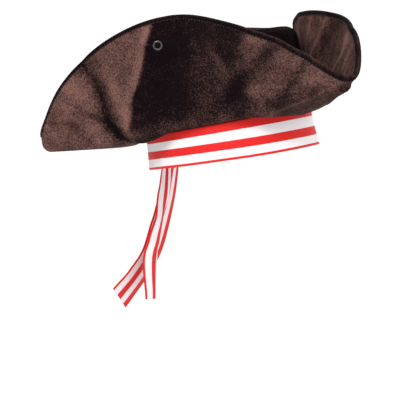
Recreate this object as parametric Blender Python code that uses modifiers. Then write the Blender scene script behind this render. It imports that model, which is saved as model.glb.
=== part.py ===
"""Child's three-cornered pirate hat with a striped head band, in metres.

+Z is up through the crown, the front corner points along -Y and the wearer's right is -X. The origin is the
centre of the head opening, level with the seam between the crown and the brim. An azimuth is measured about
+Z from the front corner, positive towards the wearer's left.
"""

import math

import bmesh
import bpy
from mathutils import Vector

# Gap between pieces that touch, and between the many-sided crown and the brim round it
GAP = 0.0003
ROOT_GAP = 0.0011

# Crown, at its outer face: half widths, height of the side seam and of the top, the radius of its shoulder, and
# how far in from the outer face the top's flat middle begins
CROWN_X, CROWN_Y = 0.0806, 0.0931
CROWN_SEAM_Z, CROWN_TOP_Z, SHOULDER = 0.0800, 0.0905, 0.0125
TIP_DOME_IN = 0.035
CROWN_CLOTH, CROWN_FOAM, LINING = 0.0009, 0.0015, 0.0006

# Brim: radius it is cut to, distance from the centre to its folds, and the three panels' heights. The front
# panels stand highest a few degrees off their middles. SPOUT_LIFT is how far the front trough's sides rise,
# and TURN_MIDDLE is the radius of a fold at a panel's middle, which grows by TURN_MORE towards the corners.
BRIM_CUT = 0.200
FOLD_MIDDLE = {"left": 0.0915, "back": 0.1015, "right": 0.0915}
FOLD_TIP = {"front": 0.184, "rear": 0.190}
PANEL_TOP = {"left": 0.0955, "back": 0.0980, "right": 0.1117}
PEAK_SHIFT = {"left": math.radians(-7.5), "back": 0.0, "right": math.radians(-6.5)}
PANEL_AZIMUTH = {"left": 60, "back": 180, "right": -60}
CORNER_TOP = {"front": 0.0200, "rear": 0.0215}
FLOOR_TIP = {"front": 0.0105, "rear": 0.0050}
SPOUT_LIFT = 0.010
ROOT_Z, TROUGH_Z = 0.0025, -0.0050
FLANK_LEAN, TIP_LEAN, PANEL_LEAN = 0.0295, 0.003, 0.004
TURN_MIDDLE, TURN_MORE = 0.0045, 0.005
FRONT_POWER, REAR_POWER = {"left": 1.56, "right": 1.27}, 0.78
NOSE = math.radians(4)
SECTOR = math.radians(60)
BRIM_CLOTH, BRIM_FOAM = 0.0008, 0.0020
BINDING, BINDING_WIDTH = 0.0007, 0.0035
BINDING_SIDE_GAP, BINDING_EDGE_GAP = 0.0009, 0.0018

# Head band, sweatband and ribbons
BAND_BOTTOM_Z, BAND_FLARE, BAND_THICK = -0.0345, 0.0022, 0.0014
SWEAT_TOP_Z, SWEAT_BOTTOM_Z, SWEATBAND = 0.018, -0.0140, 0.0012
RIBBON_WIDTH, RIBBON_THICK = 0.036, 0.0012
KNOT_Z, KNOT_CAGE, KNOT_PINCH = -0.0220, (0.0345, 0.0172, 0.0299), 0.80
KNOT_Y = CROWN_Y + BAND_FLARE + 0.0092
PIVOT_Z = -0.0365

# Eyelets, and the thread tacks that tie each panel to the crown
EYELET_FROM_TOP, EYELET_HOLE, EYELET_FLANGE, EYELET_CUT = 0.0262, 0.0028, 0.0042, 0.012
EYELET_SHIFT = {"left": 12, "back": 0, "right": -13}
TACK_Z, TACK_RADIUS = 0.0520, 0.0011

# Columns of facets on each panel, facets round the crown, and the angle that slopes are measured over
ROUND_STEPS = 18
OVAL_STEPS = 36
BESIDE = 0.012
COLOURS = {
    "velvet": (0.045, 0.020, 0.017, 0.85, 0.0),
    "binding": (0.030, 0.013, 0.011, 0.80, 0.0),
    "foam": (0.030, 0.028, 0.028, 0.95, 0.0),
    "lining": (0.018, 0.012, 0.012, 0.55, 0.0),
    "sweatband": (0.020, 0.016, 0.015, 0.80, 0.0),
    "ribbon": (0.800, 0.035, 0.035, 0.65, 0.0),
    "metal": (0.150, 0.120, 0.110, 0.35, 1.0),
    "thread": (0.030, 0.015, 0.012, 0.80, 0.0),
}


def clear_scene():
    for old in list(bpy.data.objects):
        bpy.data.objects.remove(old, do_unlink=True)


def new_collection(name):
    made = bpy.data.collections.new(name)
    bpy.context.scene.collection.children.link(made)
    return made


def material_for(name, kind):
    """One Principled material of this piece's own, in its kind's colour, roughness and metallic value."""
    red, green, blue, roughness, metallic = COLOURS[kind]
    made = bpy.data.materials.new(name)
    made.use_nodes = True
    shader = made.node_tree.nodes["Principled BSDF"]
    shader.inputs["Base Color"].default_value = (red, green, blue, 1)
    shader.inputs["Roughness"].default_value = roughness
    shader.inputs["Metallic"].default_value = metallic
    made.diffuse_color = (red, green, blue, 1)
    return made


def add_object(name, mesh_or_curve, kind, origin=(0, 0, 0)):
    """Puts a piece in the hat's collection. Its shape is given about its own origin."""
    made = bpy.data.objects.new(name, mesh_or_curve)
    made.location = origin
    if kind:
        made.data.materials.append(material_for(name, kind))
    (parts if kind else cutters).objects.link(made)
    if not kind:
        made.hide_render = True
        made.display_type = "WIRE"
    return made


def mesh_from(bm, name, smooth=True):
    bmesh.ops.recalc_face_normals(bm, faces=bm.faces)
    mesh = bpy.data.meshes.new(name)
    bm.to_mesh(mesh)
    bm.free()
    if smooth:
        mesh.shade_smooth()
        mesh.set_sharp_from_angle(angle=math.radians(50))
    return mesh


def outward(azimuth):
    return Vector((math.sin(azimuth), -math.cos(azimuth), 0))


def smooth_step(value):
    value = min(1.0, max(0.0, value))
    return value * value * (3 - 2 * value)


def oval_radius(half_x, half_y, azimuth):
    return 1 / math.hypot(math.sin(azimuth) / half_x, math.cos(azimuth) / half_y)


# The brim's shape


def panel_of(azimuth):
    """The panel at this azimuth, and the signed angle from its middle."""
    name = min(PANEL_AZIMUTH, key=lambda panel: abs(from_middle(panel, azimuth)))
    return name, from_middle(name, azimuth)


def from_middle(panel, azimuth):
    return math.remainder(azimuth - math.radians(PANEL_AZIMUTH[panel]), math.tau)


def rounded(angle):
    """The angle from a panel's middle, eased so that two panels meet in a rounded nose."""
    return SECTOR - math.hypot(SECTOR - abs(angle), NOSE)


def fold_radius(panel, corner, angle):
    middle = FOLD_MIDDLE[panel] / math.cos(rounded(0))
    bow = FOLD_TIP[corner] * math.cos(rounded(SECTOR)) / middle - 1
    return middle / math.cos(rounded(angle)) * (1 + bow * (angle / SECTOR) ** 2)


def standing_cloth(angle):
    """How much of the round brim stands above the fold: 1 at a panel's middle and 0 at a corner."""

    def above(eased):
        return math.sqrt(BRIM_CUT**2 - (FOLD_MIDDLE["right"] * math.tan(eased)) ** 2)

    low = above(rounded(SECTOR))
    return (above(rounded(angle)) - low) / (above(rounded(0)) - low)


def brim_profile(azimuth):
    """The middle of the brim's thickness at this azimuth, from the crown out to the edge, as (radius, height)."""
    panel, angle = panel_of(azimuth)
    corner = "front" if abs(azimuth) < SECTOR else "rear"
    root = oval_radius(CROWN_X, CROWN_Y, azimuth) + ROOT_GAP
    fold = fold_radius(panel, corner, angle)
    share = abs(angle) / SECTOR
    lift = SPOUT_LIFT * share * (1 - share**8) if corner == "front" else 0.0

    def floor_z(radius):
        out = (radius - root) / (FOLD_TIP[corner] - root)
        dip = ROOT_Z + (TROUGH_Z - ROOT_Z) * smooth_step(out / 0.25)
        keel = dip + (FLOOR_TIP[corner] - TROUGH_Z) * max(0.0, (out - 0.22) / 0.78) ** 1.1
        return keel + lift * smooth_step((radius - root) / (fold - root))

    standing = max(0.0, standing_cloth(angle - PEAK_SHIFT[panel] * (1 - share**2)))
    power = FRONT_POWER[panel] if corner == "front" else REAR_POWER
    edge_z = CORNER_TOP[corner] + (PANEL_TOP[panel] - CORNER_TOP[corner]) * standing**power
    lean = PANEL_LEAN * (1 - share**2)
    if corner == "front":
        lean += FLANK_LEAN * math.sin(math.pi * share**2) + TIP_LEAN * share**6
    turn = min(TURN_MIDDLE + TURN_MORE * smooth_step(share * 1.4), 0.45 * (edge_z - floor_z(fold)))
    start = fold - turn
    low = floor_z(start)
    points = [(root, ROOT_Z), ((root + start) / 2, floor_z((root + start) / 2)), (start, low)]
    for step in (1, 2):
        bend = math.radians(45 * step)
        points.append((start + turn * math.sin(bend), low + turn * (1 - math.cos(bend))))
    wall = edge_z - low - turn
    bound = max(0.1, 1 - BINDING_WIDTH / math.hypot(wall, lean))
    for up in (bound / 3, bound * 2 / 3, bound, 1):
        points.append((fold + lean * up**1.1, low + turn + wall * up))
    return points


def brim_stations():
    """Azimuths along the three straight folds, closer together near the corners, with one on every corner."""
    for middle in (-60, 60, 180):
        for step in range(ROUND_STEPS):
            even = 2 * step / ROUND_STEPS - 1
            along = math.tan(SECTOR) * (0.6 * even + 0.4 * math.sin(math.pi / 2 * even))
            yield math.remainder(math.radians(middle) + math.atan(along), math.tau)


def brim_column(azimuth):
    """The points of one column with the direction that faces up and inwards at each."""
    ahead, behind = brim_profile(azimuth + BESIDE), brim_profile(azimuth - BESIDE)
    here = brim_profile(azimuth)
    column = []
    for index, (radius, height) in enumerate(here):
        before, after = here[max(index - 1, 0)], here[min(index + 1, len(here) - 1)]
        run = outward(azimuth) * (after[0] - before[0]) + Vector((0, 0, after[1] - before[1]))
        left = outward(azimuth + BESIDE) * ahead[index][0] + Vector((0, 0, ahead[index][1]))
        right = outward(azimuth - BESIDE) * behind[index][0] + Vector((0, 0, behind[index][1]))
        normal = run.cross(left - right).normalized()
        column.append((outward(azimuth) * radius + Vector((0, 0, height)), normal, run.normalized()))
    return column


def loft_round(name, sections, stations):
    """A closed ring through closed outlines, in order round the hat.

    Each outline point's station says how far out along the brim it is. Every quad is split from its inner
    station to its outer one, so the facets of neighbouring layers stay parallel.
    """
    bm = bmesh.new()
    rings = [[bm.verts.new(point) for point in section] for section in sections]
    for ring, following in zip(rings, rings[1:] + rings[:1]):
        for index, station in enumerate(stations):
            other = (index + 1) % len(ring)
            corners = [ring[index], ring[other], following[other], following[index]]
            if stations[other] < station:
                corners = corners[1:] + corners[:1]
            bm.faces.new(corners[:3])
            bm.faces.new(corners[2:] + corners[:1])
    return mesh_from(bm, name)


def add_brim_layer(name, kind, low, high):
    """One layer of the brim, between two distances from the middle of its thickness."""
    sections = []
    for azimuth in brim_stations():
        column = brim_column(azimuth)
        under = [point + normal * low for point, normal, _ in column]
        over = [point + normal * high for point, normal, _ in reversed(column)]
        sections.append(under + over)
    outwards = list(range(len(under)))
    return add_object(name, loft_round(name, sections, outwards + outwards[::-1]), kind)


def add_binding():
    """A tape folded over the brim's edge."""
    half = BRIM_FOAM / 2 + GAP + BRIM_CLOTH + BINDING_SIDE_GAP
    sections = []
    for azimuth in brim_stations():
        inner, edge = brim_column(azimuth)[-2:]
        outline = [
            (inner, 0, -half - BINDING),
            (edge, BINDING_EDGE_GAP + BINDING, -half - BINDING),
            (edge, BINDING_EDGE_GAP + BINDING, half + BINDING),
            (inner, 0, half + BINDING),
            (inner, 0, half),
            (edge, BINDING_EDGE_GAP, half),
            (edge, BINDING_EDGE_GAP, -half),
            (inner, 0, -half),
        ]
        sections.append([spot + run * along + normal * out for (spot, normal, run), along, out in outline])
    mesh = loft_round("brim_binding", sections, [0, 1, 1, 0, 0, 1, 1, 0])
    return add_object("brim_binding", mesh, "binding")


# Crown, linings and bands: open oval shells with a thickness


def oval_shell(name, kind, profile, thickness, closed_top=False):
    """A shell through ovals given as (inset from the crown's outline, height), thickened inwards."""
    segments = OVAL_STEPS
    bm = bmesh.new()
    loops = []
    for inset, height in profile:
        ring = bmesh.ops.create_circle(bm, segments=segments, radius=1)["verts"]
        for vert in ring:
            vert.co = Vector((vert.co.x * (CROWN_X - inset), vert.co.y * (CROWN_Y - inset), height))
        loops.append(ring)
    for lower, upper in zip(loops, loops[1:]):
        for index in range(segments):
            following = (index + 1) % segments
            bm.faces.new((lower[index], lower[following], upper[following], upper[index]))
    if closed_top:
        crest = bm.verts.new((0, 0, profile[-1][1]))
        for index in range(segments):
            bm.faces.new((loops[-1][index], loops[-1][(index + 1) % segments], crest))
    shell = add_object(name, mesh_from(bm, name), kind)
    thicken = shell.modifiers.new("thickness", "SOLIDIFY")
    thicken.thickness = thickness
    thicken.offset = -1
    return shell


def crown_side_profile(depth):
    """The side wall at this depth under the velvet: upright, then turning in at the shoulder."""
    radius = SHOULDER - depth
    middle = CROWN_SEAM_Z - 0.008
    points = [(depth, GAP), (depth, middle * 0.5), (depth, middle)]
    for degrees in (20, 38):
        bend = math.radians(degrees)
        points.append((depth + radius * (1 - math.cos(bend)), middle + radius * math.sin(bend)))
    return points


def crown_tip_profile(depth):
    """The oval top at this depth: the rest of the shoulder, then a slightly domed flat."""
    radius = SHOULDER - depth
    middle = CROWN_SEAM_Z - 0.008
    points = []
    for degrees in (42, 62, 84):
        bend = math.radians(degrees)
        points.append((depth + radius * (1 - math.cos(bend)), middle + radius * math.sin(bend)))
    points.append((TIP_DOME_IN, CROWN_TOP_Z - depth))
    return points


def add_crown():
    foam = CROWN_CLOTH + GAP
    lining = foam + CROWN_FOAM + GAP
    oval_shell("crown_side", "velvet", crown_side_profile(0), CROWN_CLOTH)
    oval_shell("crown_side_foam", "foam", crown_side_profile(foam), CROWN_FOAM)
    oval_shell("side_lining", "lining", crown_side_profile(lining), LINING)
    oval_shell("crown_tip", "velvet", crown_tip_profile(0), CROWN_CLOTH, closed_top=True)
    oval_shell("crown_tip_foam", "foam", crown_tip_profile(foam), CROWN_FOAM, closed_top=True)
    oval_shell("tip_lining", "lining", crown_tip_profile(lining), LINING, closed_top=True)


def add_bands():
    sweat = CROWN_CLOTH + CROWN_FOAM + LINING + 3 * GAP
    oval_shell("sweatband", "sweatband", [(sweat, SWEAT_BOTTOM_Z), (sweat, 0), (sweat, SWEAT_TOP_Z)], SWEATBAND)
    top = -GAP
    rows = 4
    profile = []
    for row in range(rows + 1):
        down = row / rows
        profile.append((-BAND_FLARE * down**1.5, top + (BAND_BOTTOM_Z - top) * down))
    oval_shell("headband", "ribbon", profile[::-1], BAND_THICK)


# Knot and ribbons


def add_knot():
    """A soft wrapped knot, pinched at its middle."""
    bm = bmesh.new()
    bmesh.ops.create_cube(bm, size=1)
    bmesh.ops.subdivide_edges(bm, edges=bm.edges, cuts=1, use_grid_fill=True)
    for vert in bm.verts:
        pinch = KNOT_PINCH if abs(vert.co.x) < 0.1 else 1.0
        vert.co *= Vector(KNOT_CAGE)
        vert.co.z *= pinch
    knot = add_object("knot", mesh_from(bm, "knot"), "ribbon", (0, KNOT_Y, KNOT_Z))
    soften = knot.modifiers.new("soften", "SUBSURF")
    soften.levels = 1
    soften.render_levels = 1
    return knot


def ribbon_path(points, steps):
    """A smooth curve through the route's own points, as places and directions."""
    ends = [points[0] * 2 - points[1]] + points + [points[-1] * 2 - points[-2]]
    path = []
    for step in range(steps + 1):
        place = step / steps * (len(points) - 1)
        first = min(int(place), len(points) - 2)
        t = place - first
        a, b, c, d = ends[first : first + 4]
        spot = 0.5 * (2 * b + (c - a) * t + (2 * a - 5 * b + 4 * c - d) * t**2 + (3 * b - a - 3 * c + d) * t**3)
        along = 0.5 * ((c - a) + 2 * (2 * a - 5 * b + 4 * c - d) * t + 3 * (3 * b - a - 3 * c + d) * t**2)
        path.append((spot, along.normalized()))
    return path


def add_ribbon(name, pivot, route, facing):
    """A ribbon down its route: gathered at the knot, full width below, its width turning with each facing."""
    bm = bmesh.new()
    steps, across = 16, 4
    path = ribbon_path([Vector(point) - Vector(pivot) for point in route], steps)
    rows = []
    for index, (spot, along) in enumerate(path):
        share = index / steps
        turn = math.radians(facing[0] + (facing[1] - facing[0]) * smooth_step(share))
        side = Vector((math.cos(turn), math.sin(turn), 0))
        side = (side - along * side.dot(along)).normalized()
        width = RIBBON_WIDTH * (0.45 + 0.55 * smooth_step(share / 0.3))
        rows.append([bm.verts.new(spot + side * width * (lane / across - 0.5)) for lane in range(across + 1)])
    for row, following in zip(rows, rows[1:]):
        for lane in range(across):
            bm.faces.new((row[lane], row[lane + 1], following[lane + 1], following[lane]))
    ribbon = add_object(name, mesh_from(bm, name), "ribbon", pivot)
    thicken = ribbon.modifiers.new("thickness", "SOLIDIFY")
    thicken.thickness = RIBBON_THICK
    thicken.offset = 0
    return ribbon


def add_ribbons():
    right_pivot = (-0.0060, KNOT_Y, PIVOT_Z)
    add_ribbon(
        "tail_right",
        right_pivot,
        [
            (-0.0060, KNOT_Y, PIVOT_Z - 0.001),
            (-0.0085, 0.1100, -0.0630),
            (-0.0125, 0.1190, -0.0880),
            (-0.0190, 0.1250, -0.1120),
            (-0.0265, 0.1285, -0.1330),
            (-0.0340, 0.1320, -0.1740),
        ],
        (5, 32),
    )
    left_pivot = (0.0060, KNOT_Y + 0.0035, PIVOT_Z)
    add_ribbon(
        "tail_left",
        left_pivot,
        [
            (0.0060, KNOT_Y + 0.0035, PIVOT_Z - 0.003),
            (0.0040, 0.1230, -0.0650),
            (-0.0030, 0.1370, -0.0960),
            (-0.0165, 0.1460, -0.1260),
            (-0.0380, 0.1530, -0.1490),
            (-0.0610, 0.1580, -0.1670),
        ],
        (0, 10),
    )


# Eyelets and tacks


def wall_place(panel, height, shift=0.0):
    """The middle of the brim's thickness on a panel at this height, with its inward direction."""
    azimuth = math.radians(PANEL_AZIMUTH[panel] + shift)
    column = brim_column(azimuth)
    for (low, normal, _), (high, _, _) in zip(column[4:], column[5:]):
        if low.z <= height <= high.z:
            share = (height - low.z) / (high.z - low.z)
            return low.lerp(high, share), normal
    return column[-1][:2]


def turned(name, kind, profile, place, axis):
    """A ring turned about its own axis from a closed profile of (radius, distance along)."""
    bm = bmesh.new()
    verts = [bm.verts.new((radius, 0, along)) for radius, along in reversed(profile)]
    for index, vert in enumerate(verts):
        bm.edges.new((vert, verts[(index + 1) % len(verts)]))
    mesh = bpy.data.meshes.new(name)
    bm.to_mesh(mesh)
    bm.free()
    ring = add_object(name, mesh, kind, place)
    ring.rotation_mode = "QUATERNION"
    ring.rotation_quaternion = Vector((0, 0, 1)).rotation_difference(axis)
    turn = ring.modifiers.new("turn", "SCREW")
    turn.steps = 16
    turn.render_steps = 16
    turn.use_merge_vertices = True
    turn.merge_threshold = 0.00001
    return ring


def add_eyelet(panel):
    """The eyelet and its washer, through a hole in all three layers of the brim."""
    height = PANEL_TOP[panel] - EYELET_FROM_TOP
    place, inward = wall_place(panel, height, EYELET_SHIFT[panel])
    half = BRIM_FOAM / 2 + GAP + BRIM_CLOTH + GAP
    barrel = EYELET_HOLE + 0.0005
    shell = 0.0006
    turned(
        panel + "_eyelet",
        "metal",
        [
            (EYELET_HOLE, -half - shell),
            (EYELET_FLANGE, -half - shell),
            (EYELET_FLANGE, -half),
            (barrel, -half),
            (barrel, half + shell + GAP),
            (EYELET_HOLE, half + shell + GAP),
        ],
        place,
        inward,
    )
    turned(
        panel + "_washer",
        "metal",
        [
            (barrel + GAP, half),
            (EYELET_FLANGE, half),
            (EYELET_FLANGE, half + shell),
            (barrel + GAP, half + shell),
        ],
        place,
        inward,
    )
    bm = bmesh.new()
    bmesh.ops.create_cone(
        bm, cap_ends=True, segments=16, radius1=barrel + GAP, radius2=barrel + GAP, depth=EYELET_CUT
    )
    cutter = add_object(panel + "_eyelet_hole", mesh_from(bm, panel + "_eyelet_hole"), None, place)
    cutter.rotation_mode = "QUATERNION"
    cutter.rotation_quaternion = Vector((0, 0, 1)).rotation_difference(inward)
    return cutter


def add_tack(panel):
    """A bar of thread from the panel to the crown's side."""
    azimuth = math.radians(PANEL_AZIMUTH[panel])
    wall, _ = wall_place(panel, TACK_Z)
    inner = BRIM_FOAM / 2 + GAP + BRIM_CLOTH + GAP
    start = outward(azimuth) * (wall.to_2d().length - inner - GAP) + Vector((0, 0, TACK_Z))
    end = outward(azimuth) * (oval_radius(CROWN_X, CROWN_Y, azimuth) + 2 * GAP) + Vector((0, 0, TACK_Z))
    curve = bpy.data.curves.new(panel + "_tack", "CURVE")
    curve.dimensions = "3D"
    curve.bevel_depth = TACK_RADIUS
    curve.bevel_resolution = 2
    curve.use_fill_caps = True
    line = curve.splines.new("POLY")
    line.points.add(1)
    line.points[0].co = (*start, 1)
    line.points[1].co = (*end, 1)
    return add_object(panel + "_tack", curve, "thread")


def cut_holes(layers, holes):
    for layer in layers:
        for hole in holes:
            cut = layer.modifiers.new(hole.name, "BOOLEAN")
            cut.operation = "DIFFERENCE"
            cut.solver = "EXACT"
            cut.object = hole


clear_scene()
parts = new_collection("pirate_hat")
cutters = new_collection("cutters")
cutters.hide_render = True

near = BRIM_FOAM / 2
far = near + GAP + BRIM_CLOTH
brim_layers = [
    add_brim_layer("brim_under", "velvet", -far, -near - GAP),
    add_brim_layer("brim_foam", "foam", -near, near),
    add_brim_layer("brim_upper", "velvet", near + GAP, far),
]
add_binding()
add_crown()
add_bands()
add_knot()
add_ribbons()
cut_holes(brim_layers, [add_eyelet(panel) for panel in PANEL_AZIMUTH])
for panel_name in PANEL_AZIMUTH:
    add_tack(panel_name)
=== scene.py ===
"""The looks of the three-cornered pirate hat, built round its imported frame.

Metres, in the frame's own axes: +Z up through the crown, the front corner along -Y, the wearer's right at -X.
An azimuth is measured about +Z from the front corner, positive towards the wearer's left.
"""

import math
import random

import bmesh
import bpy
import numpy as np
from mathutils import Matrix, Vector


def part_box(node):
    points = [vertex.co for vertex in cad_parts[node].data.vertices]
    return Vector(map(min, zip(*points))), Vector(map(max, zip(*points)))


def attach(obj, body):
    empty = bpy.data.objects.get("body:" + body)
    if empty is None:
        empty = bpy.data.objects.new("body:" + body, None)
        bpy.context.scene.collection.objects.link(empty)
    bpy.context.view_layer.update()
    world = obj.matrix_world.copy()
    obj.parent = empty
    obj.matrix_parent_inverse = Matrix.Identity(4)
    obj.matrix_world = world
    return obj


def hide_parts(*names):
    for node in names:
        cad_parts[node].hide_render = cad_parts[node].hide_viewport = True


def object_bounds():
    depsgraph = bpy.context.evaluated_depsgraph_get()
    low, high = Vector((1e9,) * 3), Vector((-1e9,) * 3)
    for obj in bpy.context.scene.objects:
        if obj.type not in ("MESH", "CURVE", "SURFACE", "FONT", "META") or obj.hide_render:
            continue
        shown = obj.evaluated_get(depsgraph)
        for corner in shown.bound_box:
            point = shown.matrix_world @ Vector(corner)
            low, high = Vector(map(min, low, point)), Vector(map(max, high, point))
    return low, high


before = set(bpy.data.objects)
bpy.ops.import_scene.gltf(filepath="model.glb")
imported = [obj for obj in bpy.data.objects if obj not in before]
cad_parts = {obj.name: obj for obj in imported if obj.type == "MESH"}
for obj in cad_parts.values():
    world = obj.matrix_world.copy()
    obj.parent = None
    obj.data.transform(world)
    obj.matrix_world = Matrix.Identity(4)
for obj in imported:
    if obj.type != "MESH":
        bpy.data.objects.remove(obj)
cad_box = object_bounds()
random.seed(7)

# ---------------------------------------------------------------------------------------------- sizes

# The hat's shape, the same as the frame's
CROWN_X, CROWN_Y = 0.0806, 0.0931
SIDE_TOP_Z, TOP_Z, SHOULDER, TIP_DOME = 0.0720, 0.0905, 0.0125, 0.0025
CROWN_CLOTH, CROWN_FOAM, LINING = 0.0009, 0.0015, 0.0006
BRIM_CUT, HEAD_CUT, BRIM_GIRTH, CROWN_GIRTH = 0.200, 0.087, 1.15, 0.545
FOLD_MIDDLE = {"left": 0.0915, "back": 0.1015, "right": 0.0915}
FOLD_TIP = {"front": 0.184, "rear": 0.190}
PANEL_TOP = {"left": 0.0955, "back": 0.0980, "right": 0.1117}
PEAK_SHIFT = {"left": -7.5, "back": 0, "right": -6.5}
PANEL_AZIMUTH = {"left": 60, "back": 180, "right": -60}
CORNER_TOP = {"front": 0.0200, "rear": 0.0215}
FLOOR_TIP = {"front": 0.0105, "rear": 0.0050}
SPOUT_LIFT = 0.010
ROOT_Z, TROUGH_Z, ROOT_GAP = 0.0025, -0.0050, 0.0006
FLANK_LEAN, TIP_LEAN, PANEL_LEAN = 0.0295, 0.003, 0.004
TURN_MIDDLE, TURN_MORE = 0.0045, 0.005
FRONT_POWER, REAR_POWER = {"left": 1.56, "back": 1.0, "right": 1.27}, 0.78
NOSE = math.radians(4)
SECTOR = math.radians(60)
CLOTH, FOAM, GAP = 0.0008, 0.0020, 0.0003
HALF_BRIM = FOAM / 2 + GAP + CLOTH

# The half width at which a point is closed enough, and the fineness of the brim's mesh
POINT = 0.00002
COLUMNS = 480
FLOOR_ROWS, TURN_ROWS, WALL_ROWS = 12, 8, 34

# The ribbon's width and thickness, and the shares of the width where one stripe meets the next
RIBBON, RIBBON_THICK = 0.036, 0.0007
STRIPES = (0.235, 0.47, 0.70, 0.93)
BAND_FLARE, BAND_TOP_Z, BAND_BOTTOM_Z, BAND_THICK, BAND_SAG = 0.0022, -0.0003, -0.0345, 0.0014, 0.0045
KNOT_Y, KNOT_Z = CROWN_Y + BAND_FLARE + 0.0092, -0.0220
EYELET_FROM_TOP = 0.0262
EYELET_SHIFT = {"left": 12, "back": 0, "right": -13}

# Base colours: the dark and light ends of the velvet's tone, spanned by its mottled pile and by painted shade and
# painted light, the ribbon's two stripes, and the stiffening
SHADED_PILE, LIT_PILE = (0.0035, 0.0018, 0.0028), (0.165, 0.082, 0.068)
RED, WHITE = (0.62, 0.015, 0.013), (0.79, 0.76, 0.77)
FELT = (0.05, 0.045, 0.045)


# ------------------------------------------------------------------------------------------ materials


class Nodes:
    """Short calls for building one node tree."""

    def __init__(self, name):
        self.material = bpy.data.materials.new(name)
        self.material.use_nodes = True
        self.tree = self.material.node_tree
        self.shader = self.tree.nodes["Principled BSDF"]

    def add(self, kind, **settings):
        node = self.tree.nodes.new(kind)
        for key, value in settings.items():
            setattr(node, key, value)
        return node

    def feed(self, socket, value):
        if isinstance(value, bpy.types.NodeSocket):
            self.tree.links.new(value, socket)
        else:
            socket.default_value = value

    def set(self, **values):
        for key, value in values.items():
            self.feed(self.shader.inputs[key.replace("_", " ")], value)

    def noise(self, vector, scale, detail=3.0, rough=0.55, distortion=0.0):
        node = self.add("ShaderNodeTexNoise")
        self.feed(node.inputs["Vector"], vector)
        for key, value in (("Scale", scale), ("Detail", detail), ("Roughness", rough), ("Distortion", distortion)):
            node.inputs[key].default_value = value
        return node.outputs["Fac"]

    def wave(self, vector, direction, scale, distortion=0.0):
        node = self.add("ShaderNodeTexWave", bands_direction=direction)
        self.feed(node.inputs["Vector"], vector)
        node.inputs["Scale"].default_value = scale
        node.inputs["Distortion"].default_value = distortion
        return node.outputs["Fac"]

    def ramp(self, factor, stops):
        node = self.add("ShaderNodeValToRGB")
        elements = node.color_ramp.elements
        while len(elements) < len(stops):
            elements.new(0.5)
        for element, (place, colour) in zip(elements, stops):
            element.position = place
            element.color = (*colour, 1)
        self.feed(node.inputs["Fac"], factor)
        return node.outputs["Color"]

    def grey(self, factor, low, high, at=(0.0, 1.0)):
        return self.ramp(factor, [(at[0], (low,) * 3), (at[1], (high,) * 3)])

    def mix(self, factor, first, second, blend="MIX"):
        node = self.add("ShaderNodeMix", data_type="RGBA", blend_type=blend)
        self.feed(node.inputs["Factor"], factor)
        self.feed(node.inputs[6], first)
        self.feed(node.inputs[7], second)
        return node.outputs[2]

    def calculate(self, operation, first, second):
        node = self.add("ShaderNodeMath", operation=operation)
        self.feed(node.inputs[0], first)
        self.feed(node.inputs[1], second)
        return node.outputs[0]

    def plus(self, first, second):
        return self.calculate("ADD", first, second)

    def times(self, first, second):
        return self.calculate("MULTIPLY", first, second)

    def swing(self, factor, gain, centre=0.5):
        """A 0 to 1 factor turned into a swing of this gain about zero."""
        return self.times(self.calculate("SUBTRACT", factor, centre), gain)

    def coords(self):
        return self.add("ShaderNodeTexCoord").outputs["Object"]

    def uv(self, scale=(1, 1, 1)):
        place = self.add("ShaderNodeMapping")
        self.tree.links.new(self.add("ShaderNodeUVMap").outputs["UV"], place.inputs["Vector"])
        place.inputs["Scale"].default_value = scale
        return place.outputs["Vector"]

    def attribute(self, name):
        node = self.add("ShaderNodeAttribute")
        node.attribute_name = name
        return node.outputs["Fac"]

    def bump(self, height, strength, distance):
        node = self.add("ShaderNodeBump")
        node.inputs["Strength"].default_value = strength
        node.inputs["Distance"].default_value = distance
        self.feed(node.inputs["Height"], height)
        previous = self.shader.inputs["Normal"].links
        if previous:
            self.feed(node.inputs["Normal"], previous[0].from_socket)
        self.feed(self.shader.inputs["Normal"], node.outputs["Normal"])


def shaded(colour, share):
    return tuple(channel * share for channel in colour)


def velvet(name, dark, light, streaks=0.0, sheen=0.05):
    """Crushed pile, mottled light and dark at random over fine short fibres, plus the painted light and painted shade
    that each mesh carries in its attribute.
    """
    n = Nodes(name)
    place = n.coords()
    patches = n.noise(place, 24, 4, 0.55, 0.6)
    small = n.noise(place, 90, 4, 0.6, 0.4)
    tufts = n.noise(place, 640, 3, 0.8)
    fibre = n.noise(place, 1500, 2, 0.7)
    lie = n.swing(n.plus(n.times(patches, 0.85), n.times(small, 0.55)), 1.1, 0.70)
    if streaks:
        lines = n.noise(n.uv((1.0, 0.12, 1)), 70, 4, 0.65, 0.8)
        lie = n.plus(lie, n.swing(lines, streaks))
    grain = n.plus(n.plus(n.swing(tufts, 2.4), -0.03), n.swing(fibre, 0.9))
    # the mesh attribute adds painted light and painted shade to the pile's random tone
    shade = n.plus(n.plus(lie, n.attribute("pile_and_painted_light")), grain)
    middle = tuple(0.72 * a + 0.28 * b for a, b in zip(dark, light))
    colour = n.ramp(shade, [(0.0, dark), (0.42, middle), (1.0, light)])
    n.set(Base_Color=colour, Roughness=0.95, Specular_IOR_Level=0.02)
    n.set(Sheen_Weight=sheen, Sheen_Roughness=0.5, Sheen_Tint=(0.80, 0.52, 0.46, 1))
    n.bump(fibre, 0.5, 0.0006)
    n.bump(tufts, 0.5, 0.0012)
    n.bump(small, 0.30, 0.0025)
    n.bump(patches, 0.30, 0.0070)
    return n.material


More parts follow.
